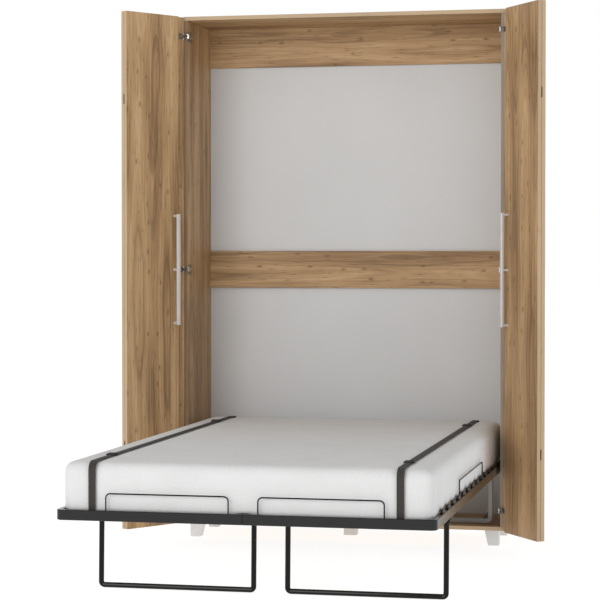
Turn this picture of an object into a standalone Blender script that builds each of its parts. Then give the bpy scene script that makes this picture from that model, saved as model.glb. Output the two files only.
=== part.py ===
"""Fold-down wall bed: an upright cabinet with two folding doors and a bed frame that swings down.

Everything is drawn in the cabinet's own frame: x across, y = 0 at the cabinet's front plane with
+y into the wall, z up from the floor. The empty wall_bed then carries it to the middle of its box.
"""

import math

import bmesh
import bpy
from mathutils import Vector

# Driving dimensions, in metres.
GAP = 0.0003
EDGE = 0.0006
BOARD = 0.016
INNER_WIDTH = 1.300
CABINET_TOP = 2.1566
CABINET_DEPTH = 0.380
BACK_THICK = 0.003
FOOT_HEIGHT = 0.0634
FOOT_INSET = 0.0225
FOOT_TOP = 0.0585
FOOT_SOLE = 0.0435
FOOT_DEPTH = 0.040
FOOT_FRONT_Y = 0.015
FOOT_CENTRE_Y = 0.190
FOOT_REAR_Y = 0.315
CENTRE_FOOT = 0.054
TOP_RAIL_LOW = 1.9757
MIDDLE_RAIL = (1.0313, 1.1889)

BED_REACH = 1.693
BED_WIDTH = 1.284
BED_HEAD = 0.280
RAIL_LOW = 0.2906
RAIL_HIGH = 0.3257
RAIL_THICK = 0.020
RAIL_CORNER = 0.014
CENTRE_TUBE = (0.0015, 0.0215)
LIFT_BAR_Y = (-0.251, -0.235)
PIVOT_Y = 0.095
PIVOT_Z = 0.308
PIN_RADIUS = 0.006

SLAT_COUNT = 14
SLAT_FIRST_Y = -1.512
SLAT_PITCH = 0.127
SLAT_WIDTH = 0.053
SLAT_THICK = 0.006

MATTRESS_WIDTH = 1.258
MATTRESS_FRONT = -1.6698
MATTRESS_THICK = 0.152
MATTRESS_ROUND = 0.034
MATTRESS_FOOT_ROUND = 0.008

WIRE_RADIUS = 0.0025
WIRE_BEND = 0.015
FRONT_STOP_X = (0.050, 0.469)
FRONT_STOP_Z = 0.3815
SIDE_STOP_X = 0.6325
SIDE_STOP_Y = (-1.094, -0.446)
SIDE_STOP_Z = 0.387

STRAP_X = 0.520
STRAP_WIDTH = 0.026
STRAP_THICK = 0.002

LEG_TUBE = 0.0095
LEG_X = (0.0605, 0.6135)
LEG_HINGE = Vector((0, -1.272, 0.274))
LEG_FOOT_Y = -1.281
LEG_CORNER = 0.012
LEG_PIN = 0.003
LEG_EAR = 0.008

STAND_TUBE = 0.020
STAND_X = 0.6005
STAND_TOP = 0.325
STAND_BEND = 0.014
GUSSET = (0.020, 0.028, 0.012)

GAS_X = 0.300
GAS_LOW = Vector((0, PIVOT_Y, 0.116))
GAS_HIGH = Vector((0, -0.200, 0.302))
GAS_OUTER = 0.0125
GAS_BORE = 0.010
ROD_RADIUS = 0.0035
GAS_BODY_LONG = 0.262
GAS_ROD_LONG = 0.290
EYE_RADIUS = 0.008
EYE_PIN = 0.004
EYE_THICK = 0.010
EAR_THICK = 0.003
EAR_GAP = 0.001
EAR_LIP = 0.009

DOOR_HIGH = 2.1535
DOOR_LOW = 0.0640
DOOR_ANGLE = math.radians(33.2)
DOOR_AXIS = Vector((0.665, -0.0075))
OUTER_LEAF = 0.318
INNER_LEAF = 0.2768
LEAF_START = -0.0034
LEAF_GAP = 0.001
FOLD_AXIS = Vector((OUTER_LEAF + 0.0002, -LEAF_GAP / 2))
FOLD_KNUCKLE = 0.0022
FOLD_PIN = 0.0010
FOLD_HINGE_HALF = 0.020
FOLD_PLATE_LONG = 0.025
DOOR_PIN = 0.0015
CUP_S = 0.0195
CUP_RADIUS = 0.0125
CUP_DEEP = 0.0105
ARM_REACH = 0.0065
ARM_LONG = 0.062
FLANGE_HALF = 0.010
FOLD_Z = (0.40, 1.80)
HINGE_Z = (0.145, 1.112, 2.075)

HANDLE_LOW = 0.885
HANDLE_HIGH = 1.340
HANDLE_FROM_EDGE = 0.025
HANDLE_STAND_OFF = 0.022
HANDLE_BAR = (0.015, 0.010)
HANDLE_POST = 0.0055

OUTER_WIDTH = INNER_WIDTH + 2 * BOARD
FLOOR_OF_CABINET = FOOT_HEIGHT + BOARD
REAR = CABINET_DEPTH + GAP + BACK_THICK
SLAT_LOW = RAIL_HIGH + 2 * GAP
SLAT_HIGH = SLAT_LOW + SLAT_THICK
MATTRESS_LOW = SLAT_HIGH + GAP
MATTRESS_HIGH = MATTRESS_LOW + MATTRESS_THICK
MATTRESS_HEAD = BED_HEAD - 0.006

CENTRE = Vector((0, (BED_REACH - REAR) / 2, 0))

SIDES = (("left", -1), ("right", 1))

MATERIALS = {
    "oak": ((0.36, 0.22, 0.115), 0.45, 0.0),
    "grey_board": ((0.55, 0.55, 0.54), 0.60, 0.0),
    "mattress_cloth": ((0.80, 0.80, 0.79), 0.90, 0.0),
    "webbing": ((0.06, 0.055, 0.05), 0.80, 0.0),
    "black_steel": ((0.015, 0.014, 0.013), 0.22, 0.6),
    "grey_steel": ((0.42, 0.41, 0.40), 0.40, 0.7),
    "white_plastic": ((0.78, 0.78, 0.77), 0.40, 0.0),
    "handle_metal": ((0.62, 0.61, 0.60), 0.32, 0.9),
    "hinge_metal": ((0.72, 0.71, 0.70), 0.18, 1.0),
    "slat_wood": ((0.62, 0.46, 0.28), 0.55, 0.0),
    "black_plastic": ((0.02, 0.02, 0.02), 0.45, 0.0),
    "rod_steel": ((0.75, 0.75, 0.75), 0.12, 1.0),
}


# Tools for making solids.


def clear_scene():
    for obj in list(bpy.data.objects):
        bpy.data.objects.remove(obj, do_unlink=True)


def material(name):
    found = bpy.data.materials.get(name)
    if found:
        return found
    colour, roughness, metallic = MATERIALS[name]
    made = bpy.data.materials.new(name)
    made.use_nodes = True
    shader = made.node_tree.nodes["Principled BSDF"]
    shader.inputs["Base Color"].default_value = (*colour, 1)
    shader.inputs["Roughness"].default_value = roughness
    shader.inputs["Metallic"].default_value = metallic
    return made


def solid(name, mesh_builder, surface, pivot=None, smooth=False):
    """A named object made by mesh_builder(bm), carried by the empty pivot."""
    bm = bmesh.new()
    mesh_builder(bm)
    bmesh.ops.recalc_face_normals(bm, faces=bm.faces)
    mesh = bpy.data.meshes.new(name)
    bm.to_mesh(mesh)
    bm.free()
    mesh.materials.append(material(surface))
    if smooth:
        mesh.shade_smooth()
        mesh.set_sharp_from_angle(angle=math.radians(35))
    obj = bpy.data.objects.new(name, mesh)
    bpy.context.scene.collection.objects.link(obj)
    if pivot:
        carry(obj, pivot)
    return obj


def carry(obj, pivot):
    """Parents a shape drawn in the cabinet's frame to an empty that sits on a joint's axis."""
    obj.parent = pivot
    obj.location = -Vector(pivot["place"])


def empty(name, place, parent=None):
    """An empty at a place of the cabinet's frame, on the axis that the pieces below it turn on."""
    made = bpy.data.objects.new(name, None)
    bpy.context.scene.collection.objects.link(made)
    made.empty_display_size = 0.05
    made["place"] = list(place)
    made.location = Vector(place)
    if parent:
        made.parent = parent
        made.location = Vector(place) - Vector(parent["place"])
    return made


def helper(piece, owner):
    """Makes a piece a hidden operand that moves with its owner."""
    piece.parent = owner
    piece.location = (0, 0, 0)
    piece.hide_render = True
    piece.display_type = "WIRE"


def combine(owner, pieces, operation):
    for piece in pieces:
        helper(piece, owner)
        modifier = owner.modifiers.new(piece.name, "BOOLEAN")
        modifier.operation = operation
        modifier.solver = "EXACT"
        modifier.object = piece
    return owner


def fuse(owner, pieces):
    return combine(owner, pieces, "UNION")


def cut(owner, pieces):
    return combine(owner, pieces, "DIFFERENCE")


def soften(obj, width=EDGE, segments=1):
    """Breaks the sharp edges of a board."""
    modifier = obj.modifiers.new("edges", "BEVEL")
    modifier.width = width
    modifier.segments = segments
    modifier.limit_method = "ANGLE"
    return obj


def block(low, high):
    """A builder of a box between two corners."""
    low, high = Vector(low), Vector(high)

    def build(bm):
        made = bmesh.ops.create_cube(bm, size=1)
        for vert in made["verts"]:
            for axis in range(3):
                vert.co[axis] = low[axis] if vert.co[axis] < 0 else high[axis]

    return build


def prism(outline, low, high, axis=2):
    """A builder of an outline drawn in the two other axes, in X, Y, Z order, drawn out along axis."""

    def build(bm):
        def at(point, level):
            place = list(point)
            place.insert(axis, level)
            return bm.verts.new(place)

        bottom = [at(point, low) for point in outline]
        top = [at(point, high) for point in outline]
        bm.faces.new(bottom)
        bm.faces.new(top)
        for i in range(len(outline)):
            j = (i + 1) % len(outline)
            bm.faces.new((bottom[i], bottom[j], top[j], top[i]))

    return build


def ring_points(radius, sides):
    """Points of a circle, with one of them straight down."""
    turn = 2 * math.pi / sides
    return [(radius * math.sin(i * turn), -radius * math.cos(i * turn)) for i in range(sides)]


def rod(start, end, radius, sides=12):
    """A builder of a plain round bar."""
    return sweep([start, end], ring_points(radius, sides), across=None)


def rounded_path(corners, radius, steps=5):
    """The corners of a bent bar, with an arc of the given radius in place of each inner one."""
    path = [Vector(corners[0])]
    for before, corner, after in zip(corners, corners[1:], corners[2:]):
        corner = Vector(corner)
        back = (Vector(before) - corner).normalized()
        ahead = (Vector(after) - corner).normalized()
        half = back.angle(ahead) / 2
        reach = radius / math.tan(half)
        centre = corner + (back + ahead).normalized() * radius / math.sin(half)
        first = corner + back * reach - centre
        turn = first.angle(corner + ahead * reach - centre)
        axis = first.cross(corner + ahead * reach - centre).normalized()
        side = axis.cross(first)
        for i in range(steps + 1):
            angle = turn * i / steps
            path.append(centre + first * math.cos(angle) + side * math.sin(angle))
    path.append(Vector(corners[-1]))
    return path


def sweep(path, profile, across):
    """A builder of a bar along a flat path. across is the normal of the plane that holds the path.

    The profile's first coordinate lies in that plane, and its second runs along the normal.
    """
    path = [Vector(point) for point in path]
    if across is None:
        along = (path[1] - path[0]).normalized()
        across = Vector((0, 0, 1)) if abs(along.z) < 0.9 else Vector((0, 1, 0))
        across = (across - along * across.dot(along)).normalized()
    across = Vector(across).normalized()

    def build(bm):
        rings = []
        for i, point in enumerate(path):
            before = (point - path[i - 1]).normalized() if i else None
            after = (path[i + 1] - point).normalized() if i + 1 < len(path) else None
            along = ((before or after) + (after or before)).normalized()
            stretch = 1 / max(along.dot(before or after), 0.2)
            side = across.cross(along) * stretch
            rings.append([bm.verts.new(point + side * u + across * v) for u, v in profile])
        bm.faces.new(rings[0])
        bm.faces.new(rings[-1])
        for here, there in zip(rings, rings[1:]):
            for i in range(len(profile)):
                j = (i + 1) % len(profile)
                bm.faces.new((here[i], here[j], there[j], there[i]))

    return build


def box_profile(width, height, corner=0.0):
    """A rectangle with its corners cut, centred on the bar's path."""
    w, h = width / 2, height / 2
    if not corner:
        return [(-w, -h), (w, -h), (w, h), (-w, h)]
    return [
        (-w + corner, -h), (w - corner, -h), (w, -h + corner), (w, h - corner),
        (w - corner, h), (-w + corner, h), (-w, h - corner), (-w, -h + corner),
    ]


def turned(profile, start, along, sides=16, closed=False):
    """A builder of a turned piece: profile holds (distance along, radius) from an axis point on.

    A closed profile is an outline that never meets the axis, so it makes a ring.
    """
    start, along = Vector(start), Vector(along).normalized()
    side = along.orthogonal().normalized()
    other = along.cross(side)

    def build(bm):
        rings = []
        for distance, radius in profile:
            centre = start + along * distance
            if radius == 0:
                rings.append([bm.verts.new(centre)])
                continue
            turns = (2 * math.pi * i / sides for i in range(sides))
            spokes = [side * math.cos(turn) + other * math.sin(turn) for turn in turns]
            rings.append([bm.verts.new(centre + spoke * radius) for spoke in spokes])
        following = rings[1:] + rings[:1] if closed else rings[1:]
        for here, there in zip(rings, following):
            for i in range(sides):
                j = (i + 1) % sides
                corners = [here[i % len(here)], here[j % len(here)]]
                corners += [there[j % len(there)], there[i % len(there)]]
                bm.faces.new(list(dict.fromkeys(corners)))

    return build


def washer(length, inner, outer, start, along, sides=16):
    """A builder of a short tube from start on."""
    profile = [(0, inner), (0, outer), (length, outer), (length, inner)]
    return turned(profile, start, along, sides, closed=True)


# The cabinet.


def board(name, low, high, surface="oak"):
    return soften(solid(name, block(low, high), surface, ROOT))


def make_cabinet():
    half, inner = OUTER_WIDTH / 2, INNER_WIDTH / 2
    top = CABINET_TOP - BOARD
    board("bottom_panel", (-half, 0, FOOT_HEIGHT), (half, CABINET_DEPTH, FLOOR_OF_CABINET))
    board("top_panel", (-half, 0, top), (half, CABINET_DEPTH, CABINET_TOP))
    for side, sign in SIDES:
        across = sorted((sign * inner, sign * half))
        board(
            f"side_panel_{side}",
            (across[0], 0, FLOOR_OF_CABINET + GAP),
            (across[1], CABINET_DEPTH, top - GAP),
        )
    rail_y = CABINET_DEPTH - BOARD
    for name, low, high in (
        ("top_rail", TOP_RAIL_LOW, top - GAP),
        ("middle_rail", *MIDDLE_RAIL),
    ):
        board(name, (-inner + GAP, rail_y, low), (inner - GAP, CABINET_DEPTH, high))
    board(
        "back_panel",
        (-half, CABINET_DEPTH + GAP, FOOT_HEIGHT),
        (half, REAR, CABINET_TOP),
        "grey_board",
    )


def foot(name, outline, front):
    """A foot with its shape seen from the front as an outline of x and z."""
    build = prism(outline, front, front + FOOT_DEPTH, axis=1)
    soften(solid(name, build, "white_plastic", ROOT), 0.0015)


def make_feet():
    high = FOOT_HEIGHT - GAP
    outer = OUTER_WIDTH / 2 - FOOT_INSET
    for side, sign in SIDES:
        outline = [
            (sign * outer, 0),
            (sign * outer, high),
            (sign * (outer - FOOT_TOP), high),
            (sign * (outer - FOOT_SOLE), 0),
        ]
        foot(f"foot_front_{side}", outline, FOOT_FRONT_Y)
        foot(f"foot_rear_{side}", outline, FOOT_REAR_Y)
    half = CENTRE_FOOT / 2
    foot("foot_centre", [(-half, 0), (half, 0), (half, high), (-half, high)], FOOT_CENTRE_Y)


def fork(name, x, y_range, z_range, thick, surface):
    """Two bracket plates that stand on each side of a piece of that thickness, centred on x."""
    near = thick / 2 + EAR_GAP + EAR_THICK / 2
    plates = []
    for i, centre in enumerate((x - near, x + near)):
        build = block(
            (centre - EAR_THICK / 2, y_range[0], z_range[0]),
            (centre + EAR_THICK / 2, y_range[1], z_range[1]),
        )
        plates.append(solid(f"{name}_plate_{i}", build, surface))
    return plates


def cross_rod(name, x, y, z, half, radius, surface, sides=16):
    """A rod that runs across the bed, centred on x."""
    return solid(name, rod((x - half, y, z), (x + half, y, z), radius, sides), surface)


def make_stand():
    """The U-shaped tube that stands on the bottom panel and holds the bed's two pivots."""
    low = FLOOR_OF_CABINET + GAP + STAND_TUBE / 2
    corners = [
        (-STAND_X, PIVOT_Y, STAND_TOP),
        (-STAND_X, PIVOT_Y, low),
        (STAND_X, PIVOT_Y, low),
        (STAND_X, PIVOT_Y, STAND_TOP),
    ]
    profile = box_profile(STAND_TUBE, STAND_TUBE, 0.003)
    path = rounded_path(corners, STAND_BEND, 4)
    stand = solid("stand_frame", sweep(path, profile, (0, 1, 0)), "grey_steel", ROOT)
    pieces = []
    for side, sign in SIDES:
        start = (sign * (STAND_X + 0.003), PIVOT_Y, PIVOT_Z)
        end = (sign * (BED_WIDTH / 2 - 0.002), PIVOT_Y, PIVOT_Z)
        pieces.append(solid(f"pivot_pin_{side}", rod(start, end, PIN_RADIUS, 24), "grey_steel"))
        x = sign * GAS_X
        y_range = (PIVOT_Y - EYE_RADIUS, PIVOT_Y + EYE_RADIUS)
        z_range = (low, GAS_LOW.z + EAR_LIP)
        pieces += fork(f"gas_low_{side}", x, y_range, z_range, EYE_THICK, "grey_steel")
        half = EYE_THICK / 2 + EAR_GAP + EAR_THICK / 2
        name = f"gas_low_pin_{side}"
        pieces.append(cross_rod(name, x, PIVOT_Y, GAS_LOW.z, half, EYE_PIN, "grey_steel"))
    fuse(stand, pieces)
    wide, tall, thick = GUSSET
    edge = STAND_X - STAND_TUBE / 2 - GAP
    base = low + STAND_TUBE / 2 + GAP
    notch = 0.006
    for side, sign in SIDES:
        outline = [
            (sign * edge, base + notch), (sign * (edge - notch), base),
            (sign * (edge - wide), base), (sign * edge, base + tall),
        ]
        gusset = prism(outline, PIVOT_Y - thick / 2, PIVOT_Y + thick / 2, axis=1)
        solid(f"stand_gusset_{side}", gusset, "black_plastic", ROOT)


# The bed.


def rod_eye(name, centre, surface):
    """The round eye at the end of a gas spring, turned about its pin."""
    start = centre - Vector((EYE_THICK / 2, 0, 0))
    build = washer(EYE_THICK, EYE_PIN + GAP, EYE_RADIUS, start, (1, 0, 0), 20)
    return solid(name, build, surface)


def make_bed_frame():
    """Two halves, each a bent outer rail closed by a centre tube and two cross tubes."""
    level = (RAIL_LOW + RAIL_HIGH) / 2
    height = RAIL_HIGH - RAIL_LOW
    outer = BED_WIDTH / 2 - RAIL_THICK / 2
    front = -BED_REACH + RAIL_THICK / 2
    low, high = RAIL_LOW + 0.001, RAIL_HIGH - 0.001
    bars = {
        "centre": ((CENTRE_TUBE[0], front - 0.003, low), (CENTRE_TUBE[1], BED_HEAD, high)),
        "leg_bar": ((0.012, LEG_HINGE.y - 0.010, low), (outer, LEG_HINGE.y + 0.010, high)),
        "lift_bar": ((0.012, LIFT_BAR_Y[0], low), (outer, LIFT_BAR_Y[1], high)),
    }
    for side, sign in SIDES:
        corners = [
            (sign * outer, BED_HEAD, level),
            (sign * outer, front, level),
            (sign * 0.001, front, level),
        ]
        path = rounded_path(corners, RAIL_CORNER, 6)
        rail = sweep(path, box_profile(RAIL_THICK, height, 0.002), (0, 0, 1))
        half = solid(f"bed_frame_{side}", rail, "black_steel", BED)
        pieces = []
        for name, (start, end) in bars.items():
            xs = sorted((sign * start[0], sign * end[0]))
            build = block((xs[0], *start[1:]), (xs[1], *end[1:]))
            pieces.append(solid(f"{name}_{side}", build, "black_steel"))
        holes = []
        y, z = LEG_HINGE.yz
        for i, x in enumerate(LEG_X):
            name = f"leg_{side}_{i}"
            ranges = (y - LEG_EAR, y + LEG_EAR), (z - EAR_LIP, low + 0.006)
            pieces += fork(name, sign * x, *ranges, 2 * LEG_TUBE, "black_steel")
            reach = LEG_TUBE + 0.012
            hole = cross_rod(f"{name}_hole", sign * x, y, z, reach, LEG_PIN + GAP, "black_steel")
            holes.append(hole)
        x, y, z = sign * GAS_X, GAS_HIGH.y, GAS_HIGH.z
        ranges = (LIFT_BAR_Y[1] - 0.005, y + EYE_RADIUS), (z - EAR_LIP, z + EAR_LIP)
        pieces += fork(f"gas_high_{side}", x, *ranges, EYE_THICK, "black_steel")
        reach = EYE_THICK / 2 + EAR_GAP + EAR_THICK / 2
        name = f"gas_high_pin_{side}"
        pieces.append(cross_rod(name, x, y, z, reach, EYE_PIN, "black_steel"))
        name = f"pivot_hole_{side}"
        place = (sign * outer, PIVOT_Y, PIVOT_Z)
        holes.append(cross_rod(name, *place, RAIL_THICK, PIN_RADIUS + GAP, "black_steel", 24))
        fuse(half, pieces)
        cut(half, holes)


def make_legs():
    """A bent U-shaped leg under each half of the frame, on pins at its two upper ends."""
    top = LEG_HINGE + Vector((0, 0, 0.009))
    rung = Vector((0, LEG_FOOT_Y, LEG_TUBE))
    across = Vector((1, 0, 0)).cross(rung - top)
    for side, sign in SIDES:
        pivot = empty(f"leg_hinge_{side}", LEG_HINGE, BED)
        inner, outer = (Vector((sign * x, 0, 0)) for x in LEG_X)
        path = rounded_path([top + inner, rung + inner, rung + outer, top + outer], LEG_CORNER, 5)
        tube = sweep(path, ring_points(LEG_TUBE, 12), across)
        leg = solid(f"leg_{side}", tube, "black_steel", pivot, smooth=True)
        half = LEG_TUBE + EAR_GAP + EAR_THICK + 0.001
        y, z = LEG_HINGE.yz
        pins = [
            cross_rod(f"leg_pin_{side}_{i}", sign * x, y, z, half, LEG_PIN, "black_steel", 12)
            for i, x in enumerate(LEG_X)
        ]
        fuse(leg, pins)


def make_gas_springs():
    """A cylinder on the stand and a rod on the bed at each side, which slide in one another."""
    along = (GAS_HIGH - GAS_LOW).normalized()
    neck = EYE_RADIUS - 0.0015
    end = GAS_BODY_LONG
    body = [
        (neck, 0), (neck, EYE_THICK / 2), (0.014, EYE_THICK / 2), (0.018, GAS_OUTER),
        (end, GAS_OUTER), (end, GAS_BORE), (0.024, GAS_BORE), (0.024, 0),
    ]
    piston = [(neck, 0), (neck, ROD_RADIUS), (GAS_ROD_LONG, ROD_RADIUS), (GAS_ROD_LONG, 0)]
    for side, sign in SIDES:
        across = Vector((sign * GAS_X, 0, 0))
        low, high = GAS_LOW + across, GAS_HIGH + across
        pivot = empty(f"gas_low_{side}", low, ROOT)
        build = turned(body, low, along, 16)
        cylinder = solid(f"gas_cylinder_{side}", build, "black_steel", pivot)
        fuse(cylinder, [rod_eye(f"gas_low_eye_{side}", low, "black_steel")])
        pivot = empty(f"gas_high_{side}", high, BED)
        build = turned(piston, high, -along, 12)
        gas_rod = solid(f"gas_rod_{side}", build, "rod_steel", pivot)
        fuse(gas_rod, [rod_eye(f"gas_high_eye_{side}", high, "rod_steel")])


def make_slats():
    """The sprung slats, tied at their ends and middle by strips that run along the bed."""
    half = BED_WIDTH / 2 - 0.006
    slats = []
    for i in range(SLAT_COUNT):
        y = SLAT_FIRST_Y + i * SLAT_PITCH
        build = block((-half, y - SLAT_WIDTH / 2, SLAT_LOW), (half, y + SLAT_WIDTH / 2, SLAT_HIGH))
        slats.append(solid(f"slat_{i}", build, "slat_wood"))
    first = SLAT_FIRST_Y - SLAT_WIDTH / 4
    last = SLAT_FIRST_Y + (SLAT_COUNT - 1) * SLAT_PITCH + SLAT_WIDTH / 4
    low, high = SLAT_LOW + 0.002, SLAT_HIGH - 0.002
    tie = half - 0.029
    strips = [block((x - 0.006, first, low), (x + 0.006, last, high)) for x in (-tie, 0, tie)]
    deck = solid("slat_deck", strips[0], "slat_wood", BED)
    others = [solid(f"slat_strip_{i}", build, "slat_wood") for i, build in enumerate(strips[1:])]
    fuse(deck, slats + others)


def rounded_outline(half_x, low_y, high_y, radius, steps=4):
    """A rectangle seen from above with round corners, as points of x and y."""
    centres = [
        (half_x - radius, high_y - radius), (radius - half_x, high_y - radius),
        (radius - half_x, low_y + radius), (half_x - radius, low_y + radius),
    ]
    points = []
    for quarter, (x, y) in enumerate(centres):
        for i in range(steps + 1):
            angle = math.pi / 2 * (quarter + i / steps)
            points.append((x + radius * math.cos(angle), y + radius * math.sin(angle)))
    return points


def make_mattress():
    """A foam block with round upright corners and top edges, and a nearly square bottom edge."""
    levels = [
        (MATTRESS_LOW, MATTRESS_FOOT_ROUND),
        (MATTRESS_LOW + MATTRESS_FOOT_ROUND / 3, MATTRESS_FOOT_ROUND / 3),
        (MATTRESS_LOW + MATTRESS_FOOT_ROUND, 0),
    ]
    for i in range(5):
        angle = math.pi / 2 * i / 4
        inset = MATTRESS_ROUND * (1 - math.cos(angle))
        levels.append((MATTRESS_HIGH - MATTRESS_ROUND * (1 - math.sin(angle)), inset))

    def build(bm):
        rings = []
        for z, inset in levels:
            half = MATTRESS_WIDTH / 2 - inset
            radius = max(MATTRESS_ROUND - inset, 0.001)
            ends = MATTRESS_FRONT + inset, MATTRESS_HEAD - inset
            outline = rounded_outline(half, *ends, radius)
            rings.append([bm.verts.new((x, y, z)) for x, y in outline])
        bm.faces.new(rings[0])
        bm.faces.new(rings[-1])
        for here, there in zip(rings, rings[1:]):
            for i in range(len(here)):
                j = (i + 1) % len(here)
                bm.faces.new((here[i], here[j], there[j], there[i]))

    solid("mattress", build, "mattress_cloth", BED)


def make_straps():
    """Two belts that run lengthwise over the mattress and down both of its ends."""
    off = 2 * GAP + STRAP_THICK / 2
    front, head, high = MATTRESS_FRONT - off, MATTRESS_HEAD + off, MATTRESS_HIGH + off
    low = RAIL_LOW + 0.010
    for side, sign in SIDES:
        x = sign * STRAP_X
        corners = [(x, front, low), (x, front, high), (x, head, high), (x, head, low)]
        path = rounded_path(corners, MATTRESS_ROUND + off, 8)
        belt = sweep(path, box_profile(STRAP_THICK, STRAP_WIDTH), (1, 0, 0))
        solid(f"strap_{side}", belt, "webbing", BED)


def wire_stop(name, start, end, high, across):
    """A wire bent into a low gate that stands on a rail between two places."""
    low = RAIL_HIGH + GAP
    corners = [(*start, low), (*start, high), (*end, high), (*end, low)]
    path = rounded_path(corners, WIRE_BEND, 4)
    build = sweep(path, ring_points(WIRE_RADIUS, 8), across)
    solid(name, build, "black_steel", BED, smooth=True)


def make_wire_stops():
    """Bent wires that stand on the rails and keep the mattress in place."""
    y = -BED_REACH + RAIL_THICK / 2 + 0.0015
    for side, sign in SIDES:
        start, end = ((sign * x, y) for x in FRONT_STOP_X)
        wire_stop(f"front_stop_{side}", start, end, FRONT_STOP_Z, (0, 1, 0))
        start, end = ((sign * SIDE_STOP_X, y_end) for y_end in SIDE_STOP_Y)
        wire_stop(f"side_stop_{side}", start, end, SIDE_STOP_Z, (1, 0, 0))


# The doors. A leaf is drawn with s along it from the hinge axis and n out through its front.


class Leaf:
    """Turns places along and through an open door into the cabinet's frame, for one side."""

    def __init__(self, sign):
        self.sign = sign
        self.along = Vector((math.sin(DOOR_ANGLE), -math.cos(DOOR_ANGLE)))
        self.out = Vector((math.cos(DOOR_ANGLE), math.sin(DOOR_ANGLE)))

    def at(self, s, n):
        place = DOOR_AXIS + self.along * s + self.out * n
        return (self.sign * place.x, place.y)

    def slab(self, s_range, n_range, z_range):
        corners = [(s_range[0], n_range[0]), (s_range[1], n_range[0])]
        corners += [(s_range[1], n_range[1]), (s_range[0], n_range[1])]
        return prism([self.at(*corner) for corner in corners], *z_range)

    def post(self, s, n, z_range, radius, sides=12):
        x, y = self.at(s, n)
        return rod((x, y, z_range[0]), (x, y, z_range[1]), radius, sides)

    def stud(self, s, z, n_range, radius, sides=12):
        low, high = self.at(s, n_range[0]), self.at(s, n_range[1])
        return rod((*low, z), (*high, z), radius, sides)


def make_doors():
    """On each side an outer leaf on the cabinet, and an inner leaf folded flat against it."""
    face = -LEAF_GAP - BOARD
    free_s = OUTER_LEAF - INNER_LEAF
    height = (DOOR_LOW, DOOR_HIGH)
    for side, sign in SIDES:
        leaf = Leaf(sign)
        swing = empty(f"door_axis_{side}", (sign * DOOR_AXIS.x, DOOR_AXIS.y, DOOR_LOW), ROOT)
        fold = empty(f"fold_axis_{side}", (*leaf.at(*FOLD_AXIS), DOOR_LOW), swing)
        outer_slab = leaf.slab((LEAF_START, OUTER_LEAF), (0, BOARD), height)
        outer = soften(solid(f"door_{side}_outer", outer_slab, "oak", swing))
        inner_slab = leaf.slab((free_s, OUTER_LEAF), (-LEAF_GAP, face), height)
        inner = soften(solid(f"door_{side}_inner", inner_slab, "oak", fold))
        cut(outer, hinge_recesses(leaf, side))
        for owner, depth in ((outer, (-0.005, 0.0022)), (inner, (-0.0032, 0.005))):
            cut(owner, fold_notches(leaf, owner.name, depth))
        for level, z in zip(("lower", "upper"), FOLD_Z):
            make_fold_hinge(leaf, f"{side}_{level}", z, swing, fold)
        for level, z in zip(("lower", "middle", "upper"), HINGE_Z):
            make_door_hinge(leaf, f"{side}_{level}", z, swing)
        make_handle(leaf, side, free_s + HANDLE_FROM_EDGE, face, fold)


def hinge_recesses(leaf, side):
    """The bored cup and the root notch that let each door hinge into the outer leaf."""
    recesses = []
    for i, z in enumerate(HINGE_Z):
        bore = leaf.stud(CUP_S, z, (-0.005, CUP_DEEP + 0.0005), CUP_RADIUS + 0.0005, 20)
        recesses.append(solid(f"cup_bore_{side}_{i}", bore, "oak"))
        notch = leaf.slab((LEAF_START - 0.002, 0.0060), (-0.002, 0.0055), (z - 0.011, z + 0.011))
        recesses.append(solid(f"root_notch_{side}_{i}", notch, "oak"))
    return recesses


def fold_notches(leaf, name, depth):
    """The shallow pockets that the fold hinges lie in."""
    notches = []
    start = OUTER_LEAF - FOLD_PLATE_LONG - 0.0005
    tall = FOLD_HINGE_HALF + 0.0005
    for i, z in enumerate(FOLD_Z):
        slab = leaf.slab((start, OUTER_LEAF + 0.010), depth, (z - tall, z + tall))
        notches.append(solid(f"{name}_notch_{i}", slab, "oak"))
    return notches


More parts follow.
